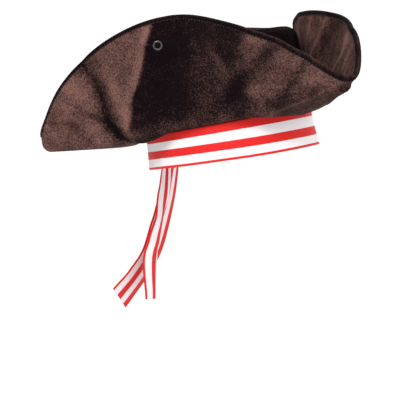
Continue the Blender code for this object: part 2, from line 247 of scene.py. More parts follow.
def woven(name, colour, scale, rough=0.6, sheen=0.2, twill=False):
    """A plain or twill weave with slightly uneven yarns."""
    n = Nodes(name)
    place = n.coords()
    cloth = n.uv()
    warp = n.wave(cloth, "DIAGONAL" if twill else "X", scale, 0.4)
    yarns = n.times(warp, n.wave(cloth, "Y", scale, 0.3))
    uneven = n.noise(place, 140, 4, 0.6)
    tone = n.mix(n.grey(uneven, 0.0, 1.0, (0.3, 0.75)), (*shaded(colour, 0.62), 1), (*colour, 1))
    tone = n.mix(n.grey(yarns, 0.35, 0.0), tone, (*shaded(colour, 0.35), 1))
    n.set(Base_Color=tone, Roughness=n.grey(uneven, rough - 0.1, rough + 0.12), Specular_IOR_Level=0.35)
    n.set(Sheen_Weight=sheen, Sheen_Roughness=0.4)
    n.bump(yarns, 0.5, 0.0003)
    n.bump(uneven, 0.2, 0.0010)
    return n.material


def striped(name, axis=1):
    """Red and white stripes along a ribbon, printed on a fine plain weave. The axis is the UV one across it."""
    n = Nodes(name)
    cloth = n.uv()
    split = n.add("ShaderNodeSeparateXYZ")
    n.feed(split.inputs[0], cloth)
    place = n.coords()
    wobble = n.swing(n.noise(place, 160, 2), 0.010)
    across = n.plus(n.calculate("DIVIDE", split.outputs[axis], RIBBON), wobble)
    edge = 0.008
    stops = [(0.0, RED)]
    for index, place_at in enumerate(STRIPES):
        before, after = (RED, WHITE) if index % 2 == 0 else (WHITE, RED)
        stops += [(place_at - edge, before), (place_at + edge, after)]
    colour = n.ramp(across, stops)
    yarns = n.times(n.wave(cloth, "X", 700), n.wave(cloth, "Y", 700))
    soil = n.noise(place, 38, 4, 0.6)
    colour = n.mix(n.grey(yarns, 0.16, 0.0), colour, (0.35, 0.10, 0.10, 1), "MULTIPLY")
    colour = n.mix(n.grey(soil, 0.10, 0.0, (0.3, 0.7)), colour, (0.72, 0.66, 0.66, 1), "MULTIPLY")
    n.set(Base_Color=colour, Roughness=n.grey(soil, 0.50, 0.66), Specular_IOR_Level=0.15)
    n.set(Sheen_Weight=0.03, Sheen_Roughness=0.35)
    n.bump(yarns, 0.35, 0.0002)
    n.bump(n.noise(place, 75, 3), 0.16, 0.0016)
    return n.material


def metal(name, low, high):
    """Plated metal, worn in fine scratches."""
    n = Nodes(name)
    worn = n.noise(n.coords(), 900, 4, 0.65)
    n.set(Base_Color=n.grey(worn, low, high, (0.35, 0.62)), Metallic=1.0, Roughness=n.grey(worn, 0.42, 0.22))
    n.bump(worn, 0.15, 0.0001)
    return n.material


def thread(name, colour):
    """Twisted sewing thread."""
    n = Nodes(name)
    twist = n.wave(n.coords(), "DIAGONAL", 900)
    tone = n.mix(twist, (*shaded(colour, 0.5), 1), (*colour, 1))
    n.set(Base_Color=tone, Roughness=0.7, Specular_IOR_Level=0.3)
    n.set(Sheen_Weight=0.3, Sheen_Roughness=0.4)
    n.bump(twist, 0.6, 0.0002)
    return n.material


def paper(name, tone):
    """A matt sheet, barely mottled."""
    n = Nodes(name)
    speck = n.noise(n.coords(), 8, 3)
    n.set(Base_Color=n.grey(speck, tone - 0.01, tone + 0.01), Roughness=0.95, Specular_IOR_Level=0.1)
    return n.material


# --------------------------------------------------------------------------------------- mesh helpers


def finish_mesh(name, mesh, material, body, replaces=()):
    """Puts a piece in the scene, on its body, and hides the nodes it stands for."""
    made = bpy.data.objects.new(name, mesh)
    bpy.context.scene.collection.objects.link(made)
    mesh.materials.append(material)
    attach(made, body)
    if replaces:
        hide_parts(*replaces)
    return made


def grid_mesh(name, points, uv, wrap_u, wrap_v, pile_and_painted_light=None, caps=False):
    """A mesh through a grid of points[column, row], its uv grid in metres with one more column where it wraps."""
    columns, rows = points.shape[:2]
    mesh = bpy.data.meshes.new(name)
    u = np.arange(columns if wrap_u else columns - 1)
    v = np.arange(rows if wrap_v else rows - 1)
    a, b = np.meshgrid(u, v, indexing="ij")
    here, beyond = a * rows, (a + 1) % columns * rows
    above = (b + 1) % rows
    faces = np.stack([here + b, beyond + b, beyond + above, here + above], -1).reshape(-1, 4)
    where = np.stack([uv[a, b], uv[a + 1, b], uv[a + 1, b + 1], uv[a, b + 1]], 2).reshape(-1, 2)
    loops = [list(face) for face in faces.tolist()]
    if caps:
        loops.append(list(range(rows))[::-1])
        loops.append([(columns - 1) * rows + row for row in range(rows)])
    mesh.from_pydata(points.reshape(-1, 3).tolist(), [], loops)
    layer = mesh.uv_layers.new(name="UVMap")
    flat = np.zeros((len(mesh.loops), 2), np.float32)
    flat[: len(where)] = where
    layer.data.foreach_set("uv", flat.reshape(-1))
    if pile_and_painted_light is not None:
        shade = mesh.attributes.new("pile_and_painted_light", "FLOAT", "POINT")
        shade.data.foreach_set("value", pile_and_painted_light.reshape(-1).astype(np.float32))
    mesh.update()
    mesh.shade_smooth()
    return mesh


def outward_facing(mesh):
    bm = bmesh.new()
    bm.from_mesh(mesh)
    bmesh.ops.recalc_face_normals(bm, faces=bm.faces)
    bm.to_mesh(mesh)
    bm.free()
    return mesh


def run_of(path):
    """How far along an open path each of its points lies."""
    return np.concatenate([[0], np.cumsum(np.linalg.norm(np.diff(path, axis=0), axis=1))])


def unit(vectors):
    return vectors / np.maximum(np.linalg.norm(vectors, axis=-1, keepdims=True), 1e-12)


def interp_points(stops, reach, points):
    return np.stack([np.interp(stops, reach, points[:, axis]) for axis in range(3)], 1)


def normals_of(points, wrap_u):
    if wrap_u:
        du = np.roll(points, -1, 0) - np.roll(points, 1, 0)
    else:
        du = np.gradient(points, axis=0)
    return unit(np.cross(np.gradient(points, axis=1), du))


def closed_shell(name, outer, inner, u_length, v_out, pile_and_painted_light=None, wrap=True):
    """A solid ring between two grids. v_out is how far along each row lies, in metres, and the same inside."""
    points = np.concatenate([outer, inner[:, ::-1]], 1)
    v = np.concatenate([v_out, v_out[: inner.shape[1]][::-1], v_out[:1]])
    u = np.linspace(0, u_length, len(points) + 1)
    uv = np.stack(np.meshgrid(u, v, indexing="ij"), -1)
    shade = None if pile_and_painted_light is None else np.concatenate([pile_and_painted_light, pile_and_painted_light[:, ::-1]], 1)
    return outward_facing(grid_mesh(name, points, uv, wrap, True, shade, caps=not wrap))


def smooth(value):
    value = np.clip(value, 0, 1)
    return value * value * (3 - 2 * value)


def soft_noise(azimuth, seed, waves=6, low=2):
    """A smooth periodic wander round the hat, about -1 to 1."""
    pick = np.random.default_rng(seed)
    total = np.zeros_like(azimuth)
    for step in range(waves):
        total += np.sin((low + step) * azimuth + pick.uniform(0, 6.28)) * pick.uniform(0.4, 1) / (1 + 0.5 * step)
    return total / 2.2


# ------------------------------------------------------------------------------------ the brim's shape


def wrap_angle(angle):
    return (angle + math.pi) % math.tau - math.pi


def oval_radius(half_x, half_y, azimuth):
    return 1 / np.hypot(np.sin(azimuth) / half_x, np.cos(azimuth) / half_y)


def rounded(angle):
    return SECTOR - np.hypot(SECTOR - np.abs(angle), NOSE)


def standing_cloth(angle):
    def above(eased):
        return np.sqrt(BRIM_CUT**2 - (FOLD_MIDDLE["right"] * np.tan(eased)) ** 2)

    low = above(rounded(SECTOR))
    return (above(rounded(angle)) - low) / (above(rounded(0.0)) - low)


def brim_columns():
    half = math.tan(SECTOR)
    per_panel = COLUMNS // 3
    even = 2 * np.arange(per_panel) / per_panel - 1
    along = half * (0.6 * even + 0.4 * np.sin(math.pi / 2 * even))
    return wrap_angle(np.concatenate([math.radians(middle) + np.arctan(along) for middle in (-60, 60, 180)]))


def brim_profiles(azimuth):
    """Radius and height of the brim's middle at every column and row, and each row's place on the wall."""
    names = np.array(list(PANEL_AZIMUTH))
    middles = np.radians([PANEL_AZIMUTH[name] for name in names])
    off = wrap_angle(azimuth[:, None] - middles[None])
    chosen = np.abs(off).argmin(1)
    angle = off[np.arange(len(azimuth)), chosen]
    front = np.abs(azimuth) < SECTOR
    share = np.abs(angle) / SECTOR

    def at_corner(table):
        return np.where(front, table["front"], table["rear"])

    def of_panel(table):
        return np.array([table[name] for name in names])[chosen]

    middle = of_panel(FOLD_MIDDLE) / np.cos(rounded(0.0))
    bow = at_corner(FOLD_TIP) * np.cos(rounded(SECTOR)) / middle - 1
    fold = middle / np.cos(rounded(angle)) * (1 + bow * share**2)
    root = oval_radius(CROWN_X, CROWN_Y, azimuth) + ROOT_GAP
    lift = np.where(front, SPOUT_LIFT * share * (1 - share**8), 0)

    def floor_z(radius):
        at = (radius - root) / (at_corner(FOLD_TIP) - root)
        dip = ROOT_Z + (TROUGH_Z - ROOT_Z) * smooth(at / 0.25)
        keel = dip + (at_corner(FLOOR_TIP) - TROUGH_Z) * np.maximum(0, (at - 0.22) / 0.78) ** 1.1
        return keel + lift * smooth((radius - root) / (fold - root))

    power = np.where(front, of_panel(FRONT_POWER), REAR_POWER)
    standing = np.maximum(0, standing_cloth(angle - np.radians(of_panel(PEAK_SHIFT)) * (1 - share**2)))
    edge_z = at_corner(CORNER_TOP) + (of_panel(PANEL_TOP) - at_corner(CORNER_TOP)) * standing**power
    lean = PANEL_LEAN * (1 - share**2)
    lean += np.where(front, FLANK_LEAN * np.sin(math.pi * share**2) + TIP_LEAN * share**6, 0)
    turn = np.minimum(TURN_MIDDLE + TURN_MORE * smooth(share * 1.4), 0.45 * (edge_z - floor_z(fold)))
    start = fold - turn
    low = floor_z(start)
    wall = edge_z - low - turn
    radius, height, up = [], [], []
    for row in range(FLOOR_ROWS):
        at = row / FLOOR_ROWS
        radius.append(root + (start - root) * at)
        height.append(np.where(at == 0, ROOT_Z, floor_z(radius[-1])))
        up.append(at - 1)
    for row in range(TURN_ROWS):
        bend = math.pi / 2 * row / TURN_ROWS
        radius.append(start + turn * math.sin(bend))
        height.append(low + turn * (1 - math.cos(bend)))
        up.append(0.0)
    for row in range(WALL_ROWS + 1):
        at = row / WALL_ROWS
        radius.append(fold + lean * at**1.1)
        height.append(low + turn + wall * at)
        up.append(at)
    return np.stack(radius, 1), np.stack(height, 1), np.array(up)


# Lines down the brim, each as points of (height, azimuth in degrees), and the creases along them, each as a
# line, half width, how far it stands out and sharpness
LONG_RIDGE = [(0.110, -73), (0.086, -80), (0.060, -85.5), (0.040, -91), (0.010, -95)]
DEEP_VALLEY = [(0.082, -106), (0.061, -103.5), (0.046, -102.5), (0.034, -102), (0.016, -101), (0.002, -99)]
LOW_VALLEY = [(0.036, -109), (0.018, -102), (0.001, -97)]
LOW_FOLD = [(0.036, -127), (0.029, -113), (0.012, -108)]
STREAK = [(0.074, -41.5), (0.062, -38.5), (0.048, -36)]
SLANT = [(0.064, -19), (0.052, -23), (0.038, -29), (0.022, -34)]
SLANT_CREST = [(0.072, -26), (0.058, -30), (0.044, -34)]
NOSE_DENT = [(0.042, -11.5), (0.030, -12.5), (0.018, -15)]
NOSE_CREST = [(0.017, -2.5), (0.011, -6), (0.007, -11), (0.002, -18)]
CREASES = [
    (LONG_RIDGE, 0.017, 0.0042, 1.0),
    ([(0.111, -58), (0.080, -64), (0.045, -72), (0.004, -80)], 0.016, -0.0028, 1.6),
    (DEEP_VALLEY, 0.0062, -0.0036, 1.3),
    (LOW_VALLEY, 0.0060, -0.0022, 1.3),
    ([(0.070, -113), (0.040, -111), (0.010, -107)], 0.008, 0.0016, 1.6),
    (LOW_FOLD, 0.007, -0.0012, 1.5),
    (STREAK, 0.006, 0.0014, 1.5),
    (SLANT, 0.008, -0.0022, 1.5),
    (SLANT_CREST, 0.006, 0.0016, 1.5),
    (NOSE_DENT, 0.006, -0.0014, 1.5),
    ([(0.095, -50), (0.060, -50), (0.030, -55)], 0.012, -0.0013, 1.6),
    ([(0.090, 55), (0.074, 64), (0.030, 70)], 0.007, -0.0022, 1.5),
    ([(0.086, 32), (0.068, 37), (0.040, 48)], 0.007, -0.0020, 1.5),
    ([(0.062, 18), (0.044, 17), (0.020, 23)], 0.006, -0.0018, 1.5),
    ([(0.075, 26), (0.052, 36)], 0.010, 0.0016, 1.6),
    ([(0.090, 90), (0.050, 86), (0.010, 83)], 0.012, 0.0022, 1.4),
    ([(0.060, 108), (0.030, 105), (0.005, 103)], 0.008, -0.0026, 1.4),
    ([(0.070, 118), (0.030, 116), (0.005, 113)], 0.008, 0.0016, 1.4),
    ([(0.095, 150), (0.050, 146), (0.010, 141)], 0.012, 0.0028, 1.3),
    ([(0.080, 133), (0.040, 131), (0.010, 128)], 0.008, -0.0022, 1.4),
    ([(0.099, 176), (0.050, 181), (0.010, 179)], 0.014, -0.0026, 1.5),
    ([(0.099, -166), (0.060, -168), (0.020, -164)], 0.009, 0.0018, 1.5),
    ([(0.095, -154), (0.050, -149), (0.010, -143)], 0.010, -0.0024, 1.3),
    ([(0.075, -138), (0.040, -136), (0.010, -133)], 0.008, 0.0020, 1.4),
]


def across_line(line, azimuth, radius, height):
    """Signed distance round the hat from a line down the brim, positive towards the wearer's left."""
    heights = [point[0] for point in reversed(line)]
    angles = [math.radians(point[1]) for point in reversed(line)]
    line_at = np.interp(height, heights, angles)
    return wrap_angle(azimuth[:, None] - line_at) * radius


def stroke(brim, line, width, above, rise, below, fall):
    """A soft line down the brim, 1 along its middle, which fades out past its ends over rise and fall."""
    fade = smooth((line[0][0] + above - brim.height) / rise) * smooth((brim.height - line[-1][0] + below) / fall)
    return np.exp(-((across_line(line, brim.azimuth, brim.radius, brim.height) / width) ** 2)) * fade


def moved(line, degrees):
    return [(height, azimuth + degrees) for height, azimuth in line]


def crease_depth(azimuth, radius, height, up):
    """How far the cloth stands out from its smooth shape, positive outwards."""
    total = np.zeros_like(radius)
    for line, width, depth, power in CREASES:
        off = np.abs(across_line(line, azimuth, radius, height)) / width
        top, bottom = line[0][0], line[-1][0]
        fade = smooth((top + 0.022 - height) / 0.022) * smooth((height - bottom + 0.012) / 0.012)
        total += depth * np.exp(-(off**power)) * fade
    wander = soft_noise(azimuth, 3, 9, 5)[:, None] * 0.0007 + soft_noise(azimuth, 4, 12, 13)[:, None] * 0.00035
    total += wander * smooth(up)[None]
    held_near_root = smooth((up + 0.95) / 0.6)[None]
    return total * held_near_root


class Brim:
    """The middle surface of the brim, its normals, and the way the cloth lies on it."""

    def __init__(self):
        self.azimuth = brim_columns()
        radius, height, self.up = brim_profiles(self.azimuth)
        stand = crease_depth(self.azimuth, radius, height, self.up)
        self.middle = self.place(radius, height)
        normal = normals_of(self.middle, True)
        self.middle = self.middle - normal * stand[..., None]
        edge = soft_noise(self.azimuth, 11, 9, 4) * 0.0010
        self.middle[..., 2] += edge[:, None] * smooth(self.up)[None]
        self.normal = normals_of(self.middle, True)
        self.radius, self.height = radius, height
        lengths = np.linalg.norm(np.diff(self.middle, axis=1), axis=2)
        self.along = np.concatenate([[0], np.cumsum(lengths.mean(0))])

    def place(self, radius, height):
        angle = self.azimuth[:, None]
        return np.stack([np.sin(angle) * radius, -np.cos(angle) * radius, height], 2)

    def at(self, offset, rows=slice(None)):
        return self.middle[:, rows] + self.normal[:, rows] * offset

    def find(self, azimuth, height):
        """Point and inward direction on the wall nearest to an azimuth in degrees and a height."""
        wall = self.up > 0.02
        off = np.abs(wrap_angle(self.azimuth[:, None] - math.radians(azimuth))) * 0.1
        cost = off + np.abs(self.middle[..., 2] - height) + np.where(wall, 0, 9)[None]
        column, row = np.unravel_index(cost.argmin(), cost.shape)
        return Vector(self.middle[column, row]), Vector(self.normal[column, row]).normalized()


def outer_painted_light_and_shade(brim):
    """Painted light and shade on the outer velvet: a lit flank behind the long crease, painted shade in front of it
    that lightens further forward, painted highlights and shade along the creases, and a painted highlight along the
    low roll.
    """
    height = brim.height
    ridge = across_line(LONG_RIDGE, brim.azimuth, brim.radius, height)
    degrees = np.degrees(brim.azimuth)[:, None] + 0 * height
    near = smooth((degrees + 128) / 8) * smooth((6 - degrees) / 8)
    behind = smooth(-ridge / 0.0030 + 0.5)
    # the flank behind the long ridge, painted as lit, a little darker low down
    lit_flank = 0.57 - 0.10 * smooth((0.045 - height) / 0.03)
    # the flank in front of the ridge, painted in shade, lighter further forward and higher up
    forward = smooth((ridge - 0.108) / 0.036) * (0.35 + 0.65 * smooth((height - 0.010) / 0.014))
    shaded_flank = -0.22 + 0.22 * smooth((ridge - 0.030) / 0.030) + 0.54 * forward
    shade = 0.30 * (1 - near) + near * (lit_flank * behind + shaded_flank * (1 - behind))
    # painted highlights (positive amounts) and painted shade (negative) along the creases and valleys
    for line, width, amount in (
        (moved(LONG_RIDGE, -2.6), 0.0045, 0.20),
        (DEEP_VALLEY, 0.0042, -0.50),
        (moved(DEEP_VALLEY, -6), 0.0055, 0.20),
        (moved(DEEP_VALLEY, 6), 0.0045, 0.16),
        (LOW_VALLEY, 0.0050, -0.34),
        (LOW_FOLD, 0.0060, -0.20),
        (STREAK, 0.0038, 0.20),
        (SLANT, 0.0090, -0.30),
        (SLANT_CREST, 0.0050, 0.08),
        (NOSE_DENT, 0.0050, -0.26),
        (NOSE_CREST, 0.0050, 0.26),
    ):
        shade += amount * stroke(brim, line, width, 0.012, 0.014, 0.010, 0.012) * near
    # a painted sheen highlight along the low roll of the brim in front of the ridge
    roll = np.exp(-(((height - 0.003) / 0.0085) ** 2)) * smooth((-16 - degrees) / 14)
    return shade + 0.30 * roll * near * (1 - behind) * smooth((-30 - degrees) / 14)


def inner_painted_light_and_shade(brim):
    """Painted light and shade on the inner velvet: painted highlights along its creases, a patch of painted shade
    between them, and darker low down.
    """
    shade = 0.30 + 0.14 * smooth(brim.height / 0.06)
    # painted highlights along the creases and one broad patch of painted shade
    for line, width, amount in (
        ([(0.090, 55), (0.074, 63), (0.045, 72)], 0.0022, 0.42),
        ([(0.088, 44), (0.060, 52)], 0.0020, 0.26),
        ([(0.086, 32), (0.068, 37), (0.045, 48)], 0.0024, 0.40),
        ([(0.064, 18), (0.044, 17), (0.025, 23)], 0.0026, 0.45),
        ([(0.055, 12), (0.035, 13)], 0.0020, 0.28),
        ([(0.078, 26), (0.050, 36)], 0.0100, -0.24),
    ):
        shade += amount * stroke(brim, line, width, 0.006, 0.010, 0.010, 0.012)
    return shade


def build_brim():
    brim = Brim()
    felt = woven("foam_felt", FELT, 300)
    outer, inner = velvet("outer_velvet", SHADED_PILE, LIT_PILE), velvet("inner_velvet", SHADED_PILE, LIT_PILE, streaks=1.3)
    face, back = FOAM / 2 + GAP / 2, HALF_BRIM
    layers = (
        ("outer_velvet", -back, -face, "velvet", "brim_under", outer, outer_painted_light_and_shade),
        ("foam_layer", -FOAM / 2, FOAM / 2, "foam", "brim_foam", felt, inner_painted_light_and_shade),
        ("inner_velvet", face, back, "velvet", "brim_upper", inner, inner_painted_light_and_shade),
    )
    for name, low, high, slot, node, look, pile_and_painted_light in layers:
        mesh = closed_shell("brim_" + name, brim.at(low), brim.at(high), BRIM_GIRTH, brim.along, pile_and_painted_light(brim))
        made = finish_mesh("brim_" + name, mesh, look, "hat", [node])
    return brim


def build_binding(brim):
    """The tape over the edge, a soft U with a rolled crest, and the stitches that hold it on both faces."""
    width, thick, clear = 0.0030, 0.0006, 0.00005
    lengths = np.linalg.norm(np.diff(brim.middle, axis=1), axis=2)
    from_edge = np.cumsum(lengths[:, ::-1], 1)
    outer, inner = [], []
    for column in range(COLUMNS):
        row = max(2, brim.middle.shape[1] - 1 - int(np.searchsorted(from_edge[column], width)))
        path, normal = brim.middle[column, row - 1 :], brim.normal[column, row - 1 :]
        reach = run_of(path)
        stops = np.linspace(max(0, reach[-1] - width), reach[-1], 6)
        spots, turned = interp_points(stops, reach, path), interp_points(stops, reach, normal)
        outwards = unit(path[-1] - path[-2])
        outer.append(u_section(spots, turned, outwards, HALF_BRIM + thick))
        inner.append(u_section(spots, turned, outwards, HALF_BRIM + clear))
    outer, inner = np.array(outer), np.array(inner)
    swell = soft_noise(brim.azimuth, 21, 14, 20) * 0.2
    outer += (outer - inner) * swell[:, None, None]
    rows = outer.shape[1]
    # the tape's tone, with a painted highlight along its rolled crest
    crest = np.exp(-(((np.arange(rows) - rows / 2 + 0.5) / 2.2) ** 2))
    shade = np.full(outer.shape[:2], -0.10) + 0.42 * crest[None]
    mesh = closed_shell("edge_binding", outer, inner, 1.25, np.linspace(0, 0.012, rows), shade)
    look = velvet("binding_tape", SHADED_PILE, shaded(LIT_PILE, 0.6), sheen=0.03)
    finish_mesh("edge_binding", mesh, look, "hat", ["brim_binding"])
    for face, row in (("outer", 1), ("inner", rows - 2)):
        spots = outer[:, row]
        stitches("binding_stitches_" + face, spots, spots - brim.middle[:, -1], 0.0034, 0.0021, 0.00022)


def u_section(spots, normals, run, half):
    """Points down one face, round the edge and up the other."""
    under = [spot - normal * half for spot, normal in zip(spots, normals)]
    over = [spot + normal * half for spot, normal in zip(spots, normals)]
    crest = []
    for step in range(1, 8):
        bend = math.pi * step / 8
        crest.append(spots[-1] - normals[-1] * half * math.cos(bend) + run * half * 0.62 * math.sin(bend))
    return under + crest + over[::-1]


def stitches(name, path, out, spacing, length, thick):
    """A row of short stitches along a closed path, each one a bead that dips into the cloth at both ends."""
    path, out = (np.concatenate([points, points[:1]]) for points in (path, out))
    reach = run_of(path)
    count = int(reach[-1] / spacing)
    stops = (np.arange(count) + 0.5) * reach[-1] / count
    spots = interp_points(stops, reach, path)
    along = unit(interp_points(stops + spacing * 0.2, reach, path) - spots)
    up = interp_points(stops, reach, out)
    up = unit(up - along * (up * along).sum(1, keepdims=True))
    side = np.cross(along, up)
    verts, faces = [], []
    rings, sides = 5, 6
    for spot, run, rise, across in zip(spots, along, up, side):
        base = len(verts)
        slant = random.uniform(-0.10, 0.10)
        for ring in range(rings):
            t = ring / (rings - 1) * 2 - 1
            fat = thick * math.sqrt(max(0.06, 1 - t**2))
            centre = spot + (run + across * slant) * t * length / 2 + rise * thick * 0.6 * (1 - t**2)
            for step in range(sides):
                bend = math.tau * step / sides
                verts.append(centre + across * fat * math.cos(bend) + rise * fat * math.sin(bend))
        for ring in range(rings - 1):
            for step in range(sides):
                a, b = base + ring * sides + step, base + ring * sides + (step + 1) % sides
                faces.append((a, b, b + sides, a + sides))
        faces.append(tuple(base + step for step in range(sides))[::-1])
        faces.append(tuple(base + (rings - 1) * sides + step for step in range(sides)))
    mesh = bpy.data.meshes.new(name)
    mesh.from_pydata([tuple(vert) for vert in verts], [], faces)
    mesh.shade_smooth()
    return finish_mesh(name, outward_facing(mesh), THREADS["binding_thread"], "hat")


# -------------------------------------------------------------------------------------- crown and linings


def shoulder_rows(depth, start, sweep):
    """Part of the crown's rounded shoulder at this depth under its outer face, as (inset, height)."""
    radius = SHOULDER - depth
    bends = np.radians([start + sweep * row / 8 for row in range(9)])
    return [(depth + radius * (1 - math.cos(bend)), SIDE_TOP_Z + radius * math.sin(bend)) for bend in bends]


def side_rows(depth, rows=26):
    return [(depth, GAP + SIDE_TOP_Z * row / rows) for row in range(rows)] + shoulder_rows(depth, 0, 39.0)


def tip_rows(depth, rows=30):
    points = shoulder_rows(depth, 41.0, 43)
    start, level = points[-1]
    rise = TOP_Z + TIP_DOME - depth - level
    for row in range(1, rows):
        at = row / (rows - 1)
        points.append((start + (CROWN_X - start) * at, level + rise * smooth(at * 1.3)))
    return points


def oval_angle(azimuth):
    return np.arctan2(np.sin(azimuth) * CROWN_Y, np.cos(azimuth) * CROWN_X)[:, None]


def oval_shell(name, rows, thick, look, node, columns=192, ripple=None, pile_and_painted_light=None):
    """A shell through ovals of (inset, height) round the hat. Gives the piece and its outer points."""
    azimuth = np.linspace(-math.pi, math.pi, columns, endpoint=False)
    inset = np.array([row[0] for row in rows])[None]
    height = np.array([row[1] for row in rows])[None] + 0 * azimuth[:, None]
    stand = ripple(azimuth[:, None], height) if ripple else 0 * height
    rounder = np.clip((inset - SHOULDER) / (CROWN_X - SHOULDER), 0, 1) * (CROWN_Y - CROWN_X)
    half_x = np.maximum(CROWN_X - inset, POINT)
    half_y = np.maximum(CROWN_Y - inset - rounder, POINT)
    angle = oval_angle(azimuth)
    outer = np.stack([np.sin(angle) * (half_x + stand), -np.cos(angle) * (half_y + stand), height], 2)
    normal = normals_of(outer, True)
    if (normal[:, 0] * outer[:, 0]).sum() < 0:
        normal = -normal
    lengths = np.linalg.norm(np.diff(outer, axis=1), axis=2).mean(0)
    along = np.concatenate([[0], np.cumsum(lengths)])
    shade = None if pile_and_painted_light is None else np.full(outer.shape[:2], pile_and_painted_light)
    mesh = closed_shell(name, outer, outer - normal * thick, CROWN_GIRTH, along, shade)
    return finish_mesh(name, mesh, look, "hat", [node]), outer


def crown_ripple(azimuth, height):
    pull = soft_noise(azimuth, 31, 7, 3) * 0.0010 * smooth(height / 0.05)
    return pull * smooth((0.080 - height) / 0.012 + 0.3)


def lining_gathers(azimuth, height):
    fold = np.sin(46 * azimuth + 2.2 * np.sin(5 * azimuth)) * 0.5 + np.sin(91 * azimuth + 1.0) * 0.25
    return -0.0011 * (0.5 + fold * 0.5) * smooth((height - 0.045) / 0.030)


def build_crown():
    """Velvet, stiffening and lining of the side and the top, and the cords of velvet along the crown's seams."""
    foam = CROWN_CLOTH + GAP
    lining = foam + CROWN_FOAM + GAP
    # the crown's velvet is a darker copy of the brim's velvet, in painted shade
    shaded_crown_velvet = velvet("crown_velvet_painted_shade", shaded(SHADED_PILE, 0.6), shaded(LIT_PILE, 0.55), sheen=0.01)
    felt = woven("crown_felt", FELT, 300)
    satin = woven("lining_satin", (0.040, 0.026, 0.024), 420, 0.42, 0.3, twill=True)
    # a pile offset that darkens the crown further: painted shade
    crown_painted_shade = -0.05
    side, outer = oval_shell(
        "crown_side_velvet", side_rows(0), CROWN_CLOTH, shaded_crown_velvet, "crown_side", ripple=crown_ripple, pile_and_painted_light=crown_painted_shade
    )
    tip, _ = oval_shell("crown_tip_velvet", tip_rows(0), CROWN_CLOTH, shaded_crown_velvet, "crown_tip", pile_and_painted_light=crown_painted_shade)
    oval_shell("crown_side_felt", side_rows(foam), CROWN_FOAM - 0.0001, felt, "crown_side_foam")
    oval_shell("crown_tip_felt", tip_rows(foam), CROWN_FOAM - 0.0001, felt, "crown_tip_foam")
    thin = LINING - 0.0001
    rows, name = side_rows(lining), "lining_side_cloth"
    side, _ = oval_shell(name, rows, thin, satin, "side_lining", columns=384, ripple=lining_gathers)
    tip, _ = oval_shell("lining_tip_cloth", tip_rows(lining), thin, satin, "tip_lining")
    seam = outer[:, -1] * (0.996, 0.996, 1) - (0, 0, 0.00024)
    tube("crown_welt", seam, 0.0011, velvet("welt_velvet", SHADED_PILE, shaded(LIT_PILE, 0.4), sheen=0.02))
    turn = np.linspace(-math.pi, math.pi, 288, endpoint=False)
    reach = oval_radius(CROWN_X, CROWN_Y, turn) + ROOT_GAP
    root = np.stack([np.sin(turn) * reach, -np.cos(turn) * reach, 0 * turn + 0.0046], 1)
    tube("brim_root_seam", root, 0.0015, shaded_crown_velvet)


def tube(name, path, radius, look, closed=True, twist=0):
    """A round cord along a path, closed on itself or with caps, in three twisted strands where it has a twist."""
    path = np.array(path)
    along = unit(np.roll(path, -1, 0) - np.roll(path, 1, 0) if closed else np.gradient(path, axis=0))
    side = unit(np.cross(along, [0.0, 0.0, 1.0]))
    rise = np.cross(side, along)
    sides = 10
    bend = np.arange(sides)[None] / sides * math.tau
    ridges = np.cos(3 * (bend - np.arange(len(path))[:, None] * twist))
    lobes = radius * (1 + 0.14 * ridges * bool(twist))
    ring = side[:, None] * (np.cos(bend) * lobes)[..., None] + rise[:, None] * (np.sin(bend) * lobes)[..., None]
    reach = np.linspace(0, run_of(path)[-1], len(path) + 1)
    uv = np.stack(np.meshgrid(reach, np.linspace(0, math.tau * radius, sides + 1), indexing="ij"), -1)
    pile_and_painted_light = np.full(ring.shape[:2], 0.2)
    mesh = grid_mesh(name, path[:, None] + ring, uv, closed, True, pile_and_painted_light, caps=not closed)
    return finish_mesh(name, outward_facing(mesh), look, "hat")


# ----------------------------------------------------------------------------------- bands inside and out


def soft_tape(azimuth, height):
    return soft_noise(azimuth, 41, 8, 6) * 0.00035


def build_sweatband():
    depth = CROWN_CLOTH + CROWN_FOAM + LINING + 3 * GAP
    rows = [(depth, z) for z in np.linspace(-0.014, 0.018, 22)]
    tape = woven("sweat_tape", (0.045, 0.038, 0.037), 260, 0.8, 0.1, twill=True)
    band, outer = oval_shell("sweatband_tape", rows, 0.0011, tape, "sweatband", ripple=soft_tape)
    for label, row in (("top", -2), ("bottom", 1)):
        inwards = unit(-outer[:, row] * (1, 1, 0))
        path = outer[:, row] + inwards * 0.0012
        stitches("sweatband_stitches_" + label, path, inwards, 0.0036, 0.0024, 0.00024)


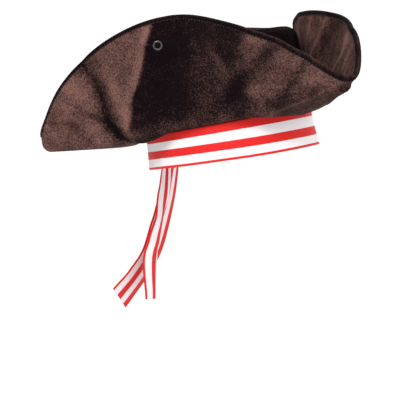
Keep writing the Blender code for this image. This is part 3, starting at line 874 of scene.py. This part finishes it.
def build_headband():
    """The folded striped band: two faces joined by a rolled lower edge, standing a little off the head."""
    azimuth = np.linspace(-math.pi, math.pi, 300, endpoint=False)
    down = np.linspace(0, 1, 26)

    def wander(seed, waves, low, reach):
        return (soft_noise(azimuth, seed, waves, low) * reach)[:, None]

    stand = BAND_FLARE * down[None] ** 1.5 + wander(51, 7, 2, 0.0007) * smooth(down)[None]
    stand = stand + wander(52, 12, 9, 0.00030) * smooth(down * 1.3)[None]
    height = BAND_TOP_Z + (BAND_BOTTOM_Z - BAND_TOP_Z) * down[None] + wander(53, 6, 2, 0.0004) * down[None]
    sag = BAND_SAG * smooth(0.5 + 0.5 * np.cos(azimuth - math.radians(45)))
    height = height - sag[:, None] * smooth(down * 1.5)[None]
    angle = oval_angle(azimuth)

    def face(inset):
        x, y = np.sin(angle) * (CROWN_X + stand - inset), -np.cos(angle) * (CROWN_Y + stand - inset)
        return np.stack([x, y, height], 2)

    outer, inner = face(0.0), face(BAND_THICK)
    middle, reach = (outer[:, -1] + inner[:, -1]) / 2, (outer[:, -1] - inner[:, -1]) / 2
    roll = []
    for step in range(1, 6):
        bend = math.pi * step / 6
        roll.append(middle + reach * math.cos(bend) - [0, 0, BAND_THICK / 2 * math.sin(bend)])
    outer = np.concatenate([outer, np.stack(roll[:3], 1)], 1)
    inner = np.concatenate([inner, np.stack(roll[:2:-1], 1)], 1)
    across = np.concatenate([down * RIBBON * 0.985, RIBBON * np.array([0.99, 0.995, 1.0])])
    mesh = closed_shell("headband_ribbon", outer, inner, 0.548, across)
    made = finish_mesh("headband_ribbon", mesh, LOOKS["stripe"], "hat", ["headband"])


def ribbon_grid(points, widths, facings, curls, rows=120, across=25):
    """A ribbon down a route: its width, which way it faces and how far it curls change along it."""
    route = catmull(np.array(points), rows)
    share = np.linspace(0, 1, rows)
    width = np.interp(share, np.linspace(0, 1, len(widths)), widths)[:, None]
    turn = np.radians(smooth_interp(share, facings))
    curl = smooth_interp(share, curls)[:, None]
    along = unit(np.gradient(route, axis=0))
    side = np.stack([np.cos(turn), np.sin(turn), 0 * turn], 1)
    side = unit(side - along * (side * along).sum(1, keepdims=True))
    face = np.cross(side, along)
    bend = np.linspace(-0.5, 0.5, across)[None] * curl
    run, lift = np.sin(bend) / curl * width, (1 - np.cos(bend)) / curl * width
    return route[:, None] + side[:, None] * run[..., None] + face[:, None] * lift[..., None]


def catmull(points, count):
    ends = np.concatenate([[2 * points[0] - points[1]], points, [2 * points[-1] - points[-2]]])
    place = np.linspace(0, len(points) - 1, count)
    first = np.minimum(place.astype(int), len(points) - 2)
    t = (place - first)[:, None]
    a, b, c, d = (ends[first + step] for step in range(4))
    return 0.5 * (2 * b + (c - a) * t + (2 * a - 5 * b + 4 * c - d) * t**2 + (3 * b - a - 3 * c + d) * t**3)


def smooth_interp(at, values):
    stops = np.linspace(0, 1, len(values))
    place = np.clip(np.searchsorted(stops, at, side="right") - 1, 0, len(stops) - 2)
    t = (at - stops[place]) / (stops[place + 1] - stops[place])
    values = np.array(values, float)
    return values[place] + (values[place + 1] - values[place]) * smooth(t)


TAILS = {
    "right": dict(
        points=[
            (-0.0050, KNOT_Y - 0.0010, -0.0335),
            (-0.0085, 0.1100, -0.0630),
            (-0.0125, 0.1190, -0.0880),
            (-0.0190, 0.1250, -0.1120),
            (-0.0265, 0.1285, -0.1330),
            (-0.0340, 0.1320, -0.1740),
        ],
        widths=(0.015, 0.026, 0.034, 0.036, 0.036, 0.035),
        facings=(5, 18, 44, 36, 28, 38),
        curls=(0.6, 1.2, 1.6, 2.0, 2.0, 1.7),
    ),
    "left": dict(
        points=[
            (0.0050, KNOT_Y + 0.0010, -0.0335),
            (0.0040, 0.1230, -0.0650),
            (-0.0030, 0.1370, -0.0960),
            (-0.0165, 0.1460, -0.1260),
            (-0.0380, 0.1530, -0.1490),
            (-0.0610, 0.1580, -0.1670),
        ],
        widths=(0.015, 0.026, 0.034, 0.036, 0.036, 0.036),
        facings=(0, 6, 12, 14, 12, 8),
        curls=(0.6, 0.6, 0.3, 0.2, 0.2, 0.2),
    ),
}


def build_tails():
    for side, shape in TAILS.items():
        name = "ribbon_tail_" + side
        grid = ribbon_grid(**shape)
        half = normals_of(grid, False) * RIBBON_THICK / 2
        length = float(run_of(grid.mean(1))[-1])
        mesh = closed_shell(name, grid + half, grid - half, length, np.linspace(RIBBON, 0, grid.shape[1]), wrap=False)
        made = finish_mesh(name, mesh, LOOKS["stripe"], "ribbon_" + side, ["tail_" + side])


def build_gather(side, label):
    """One end of the band, bunched into a roll that runs into the knot."""
    points = [
        (side * 0.0150, KNOT_Y - 0.0035, -0.0215),
        (side * 0.0100, KNOT_Y - 0.0010, -0.0215),
        (side * 0.0050, KNOT_Y + 0.0015, -0.0215),
        (side * 0.0005, KNOT_Y + 0.0005, KNOT_Z),
    ]
    rows, lanes = 30, 41
    route = catmull(np.array(points), rows)[None]
    share = np.linspace(0, 1, rows)[None]
    bend = np.linspace(0, math.tau, lanes, endpoint=False)[:, None]
    pleat = 1 + 0.10 * np.sin(bend * 6 + side) * smooth(share)
    deep = (0.0020 + 0.0028 * smooth(share * 1.4)) * np.cos(bend) * pleat
    tall = (0.0125 - 0.0035 * smooth(share * 1.2)) * np.sin(bend) * pleat
    around = route + np.stack([0 * deep, deep, tall], 2)
    normal = normals_of(around, True)
    outwards = np.sign((normal * (around - around.mean(0, keepdims=True))).sum())
    inner = around - normal * 0.0006 * outwards
    name = "knot_gather_" + label
    mesh = closed_shell(name, around, inner, RIBBON, np.linspace(0, 0.016, rows))
    made = finish_mesh(name, mesh, LOOKS["gather"], "hat")


def build_knot():
    """Two gathered band ends meeting under a wrapped loop."""
    build_gather(-1, "right")
    build_gather(1, "left")
    rows, lanes = 72, 19
    bend = np.linspace(0, math.tau, rows, endpoint=False)[:, None]
    lane = np.linspace(-1, 1, lanes)[None]
    fat = (1 + 0.05 * np.sin(lane * 8 + 2 * np.sin(bend))) * (1 - 0.12 * lane**2)
    x = lane * (0.0078 + 0.0010 * np.sin(bend)) + 0.0012 * np.cos(bend)
    y = KNOT_Y + np.sin(bend) * 0.0068 * fat + 0.0004
    z = KNOT_Z + np.cos(bend) * 0.0118 * fat
    grid = np.stack([x, y, z], 2)
    normal = normals_of(grid, True)
    middle = lanes // 2
    outwards = np.sign((normal[:, middle] * (grid[:, middle] - [0, KNOT_Y, KNOT_Z])).sum())
    mesh = closed_shell("knot_wrap", grid, grid - normal * 0.0008 * outwards, 0.060, np.linspace(0, RIBBON, lanes))
    made = finish_mesh("knot_wrap", mesh, LOOKS["stripe"], "hat", ["knot"])


# -------------------------------------------------------------------------------------- eyelets and tacks


def turned_ring(name, profile, place, axis, look, nodes):
    """A profile of (radius, height) turned about an axis through a place."""
    steps = 48
    spin = np.linspace(0, math.tau, steps, endpoint=False)[:, None, None]
    rows = np.array(profile)[None]
    first = axis.orthogonal().normalized()
    second = axis.cross(first)
    round_it = np.cos(spin) * np.array(first) + np.sin(spin) * np.array(second)
    points = np.array(place) + rows[..., :1] * round_it + rows[..., 1:] * np.array(axis)
    around, along = np.linspace(0, 0.02, steps + 1), np.linspace(0, 0.01, len(profile) + 1)
    uv = np.stack(np.meshgrid(around, along, indexing="ij"), -1)
    mesh = outward_facing(grid_mesh(name, points, uv, True, True))
    finish_mesh(name, mesh, look, "hat", nodes)


def arc(radius, centre, start, end, steps):
    spread = np.radians(np.linspace(start, end, steps))
    return [(centre[0] + radius * math.cos(a), centre[1] + radius * math.sin(a)) for a in spread]


def build_eyelets(brim):
    """Each eyelet's flange and barrel, the bright rim rolled round it, and the washer on the inner face."""
    dull, bright = metal("eyelet_dark", 0.03, 0.08), metal("eyelet_bright", 0.14, 0.34)
    half = HALF_BRIM + 0.0003
    flange = arc(0.0002, (0.0040, -half + 0.0001), -90, 90, 4)
    flange += [(0.0033, -half + 0.0003), (0.0033, half + 0.0005)]
    flange += arc(0.0003, (0.0033, half + 0.0005), 90, 180, 5)
    flange += [(0.0029, -half + 0.0002)]
    flange += arc(0.0004, (0.0034, -half + 0.0001), 180, 260, 4)
    rim = arc(0.00016, (0.0044, -half), 0, 330, 9)
    washer = [(0.0035, half - 0.0001), (0.0042, half - 0.0001)]
    washer += arc(0.00025, (0.0041, half + 0.0003), 0, 90, 4)
    washer += arc(0.00025, (0.0036, half + 0.0003), 90, 180, 4)
    for panel, azimuth in PANEL_AZIMUTH.items():
        place, inward = brim.find(azimuth + EYELET_SHIFT[panel], PANEL_TOP[panel] - EYELET_FROM_TOP)
        turned_ring(panel + "_eyelet_ring", flange, place, inward, dull, [panel + "_eyelet"])
        turned_ring(panel + "_eyelet_rim", rim, place, inward, bright, [])
        turned_ring(panel + "_washer_ring", washer, place, inward, bright, [panel + "_washer"])


def build_tacks(brim):
    """Four twisted strands from each panel to the crown, drawn together at their middle."""
    for panel, azimuth in PANEL_AZIMUTH.items():
        low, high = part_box(panel + "_tack")
        level = (low[2] + high[2]) / 2
        angle = math.radians(azimuth)
        out, side = Vector((math.sin(angle), -math.cos(angle), 0)), Vector((-math.cos(angle), -math.sin(angle), 0))
        wall, _ = brim.find(azimuth, level)
        start = float(oval_radius(CROWN_X, CROWN_Y, angle)) - 0.0006
        end = wall.to_2d().length - HALF_BRIM * 0.6
        for strand in range(4):
            off = (strand - 1.5) * 0.00075
            path = []
            for step in range(9):
                at = step / 8
                spot = out * (start + (end - start) * at) + side * (off * (0.7 + 0.3 * math.cos(6.28 * at)))
                path.append(tuple(spot + Vector((0, 0, level + 0.0004 * math.sin(3.14 * at + strand)))))
            name = f"{panel}_tack_strand_{strand + 1}"
            made = tube(name, path, 0.00042, THREADS["tack_thread"], closed=False, twist=0.5)
            if strand == 0:
                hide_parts(panel + "_tack")


# ------------------------------------------------------------------------------------------------ stage


def build_stage():
    bpy.ops.mesh.primitive_plane_add(size=60, location=(0, 0, FLOOR_Z))
    floor = bpy.context.object
    floor.name = "studio_floor"
    floor.data.materials.append(paper("studio_paper", 0.965))
    world = bpy.data.worlds.new("studio")
    bpy.context.scene.world = world
    world.use_nodes = True
    world.node_tree.nodes["Background"].inputs["Color"].default_value = (1, 1, 1, 1)
    world.node_tree.nodes["Background"].inputs["Strength"].default_value = 1.06
    for name, place, size, power in (
        ("key", (-1.9, -1.3, 1.5), 0.9, 46),
        ("fill", (1.2, -2.2, 0.9), 1.4, 10),
        ("back", (0.9, 1.8, 1.6), 1.2, 16),
    ):
        light = bpy.data.lights.new(name, "AREA")
        light.size = size
        light.energy = power
        lamp = bpy.data.objects.new(name, light)
        lamp.location = place
        lamp.rotation_euler = (Vector((0, 0, 0.03)) - Vector(place)).to_track_quat("-Z", "Y").to_euler()
        bpy.context.scene.collection.objects.link(lamp)
    bpy.context.scene.view_settings.view_transform = "Standard"


def build_camera():
    """Looks at the wearer's right front from almost level, tilted the way the hat is worn."""
    azimuth, elevation, roll = math.radians(-39), math.radians(2.5), math.radians(10.5)
    distance, width = 2.0, 0.412
    towards = Vector(
        (math.sin(azimuth) * math.cos(elevation), -math.cos(azimuth) * math.cos(elevation), math.sin(elevation))
    )
    level = Vector((math.cos(azimuth), math.sin(azimuth), 0))
    upright = towards.cross(level)
    right = level * math.cos(roll) - upright * math.sin(roll)
    up = level * math.sin(roll) + upright * math.cos(roll)
    target = -right * 0.0283 - up * 0.0811
    data = bpy.data.cameras.new("camera")
    data.sensor_width = 36
    data.lens = 36 * distance / width
    camera = bpy.data.objects.new("camera", data)
    place = target + towards * distance
    camera.matrix_world = Matrix([[right[i], up[i], towards[i], place[i]] for i in range(3)] + [[0, 0, 0, 1]])
    bpy.context.scene.collection.objects.link(camera)
    bpy.context.scene.camera = camera


FLOOR_Z = cad_box[0][2] - 0.25
build_camera()
build_stage()
LOOKS = {"stripe": striped("striped_ribbon"), "gather": striped("gathered_ribbon", 0)}
THREADS = {
    "binding_thread": thread("binding_thread", (0.035, 0.020, 0.018)),
    "tack_thread": thread("tack_thread", (0.050, 0.030, 0.026)),
}
the_brim = build_brim()
build_binding(the_brim)
build_crown()
build_sweatband()
build_headband()
build_knot()
build_tails()
build_eyelets(the_brim)
build_tacks(the_brim)
